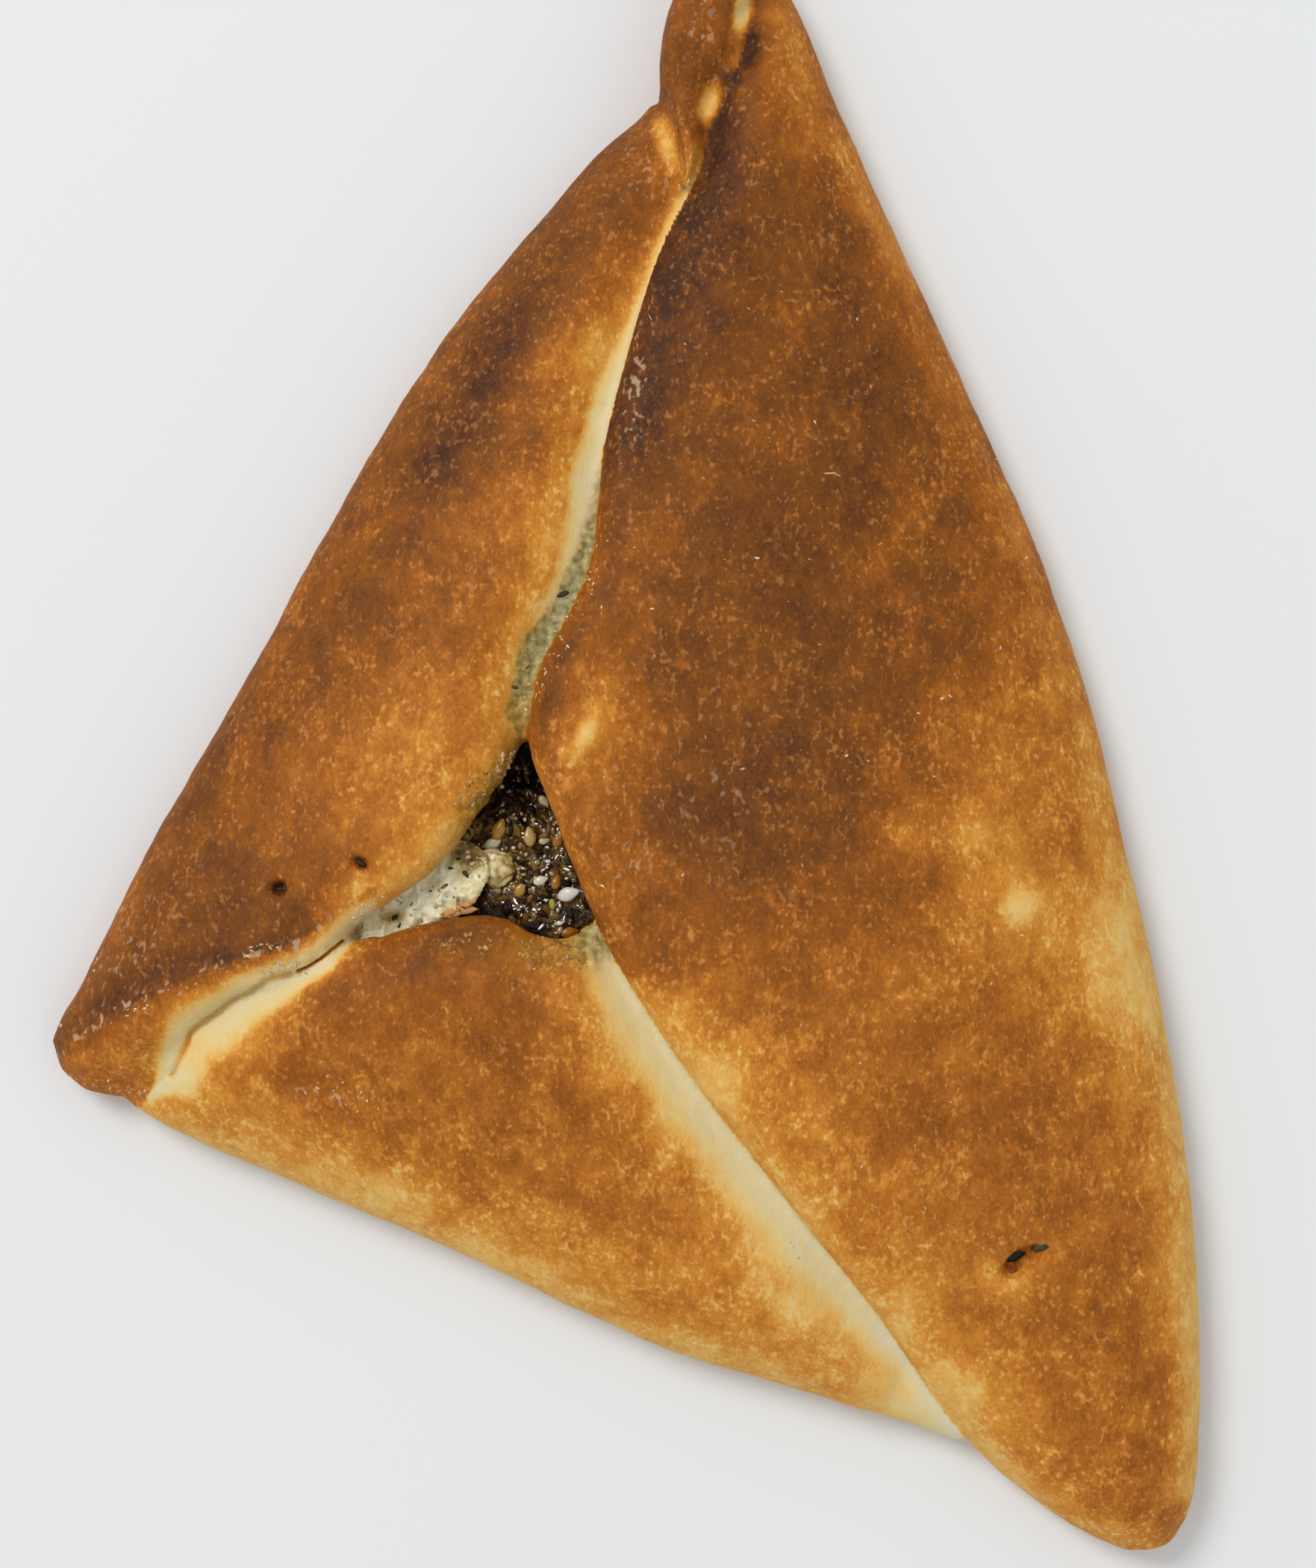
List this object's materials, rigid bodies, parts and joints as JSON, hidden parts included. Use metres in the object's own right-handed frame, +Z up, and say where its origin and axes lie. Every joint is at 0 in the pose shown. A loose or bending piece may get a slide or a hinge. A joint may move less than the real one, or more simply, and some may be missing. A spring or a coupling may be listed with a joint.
{
  "type": "zaatar and cheese borek",
  "caption": "Long triangular baked pastry, its flaps folded in over a zaatar and cheese filling that shows in a small opening, with a twisted tip.",
  "frame": {"origin": "middle of the underside, on the surface that the pastry lies on", "axes": "+Z up out of the folded side, +Y towards the twisted tip, +X towards the side of the large covering flap"},
  "size_m": [0.155, 0.218, 0.0237],
  "materials": {
    "crust": "baked golden to dark brown crust, matte with a faint sheen",
    "zaatar": "dark oily herb paste with sesame seeds",
    "cheese": "soft melted white cheese, moist"
  },
  "bodies": {
    "root": {"dough": "crust", "zaatar_filling": "zaatar", "melted_cheese": "cheese"}
  },
  "joints": []
}
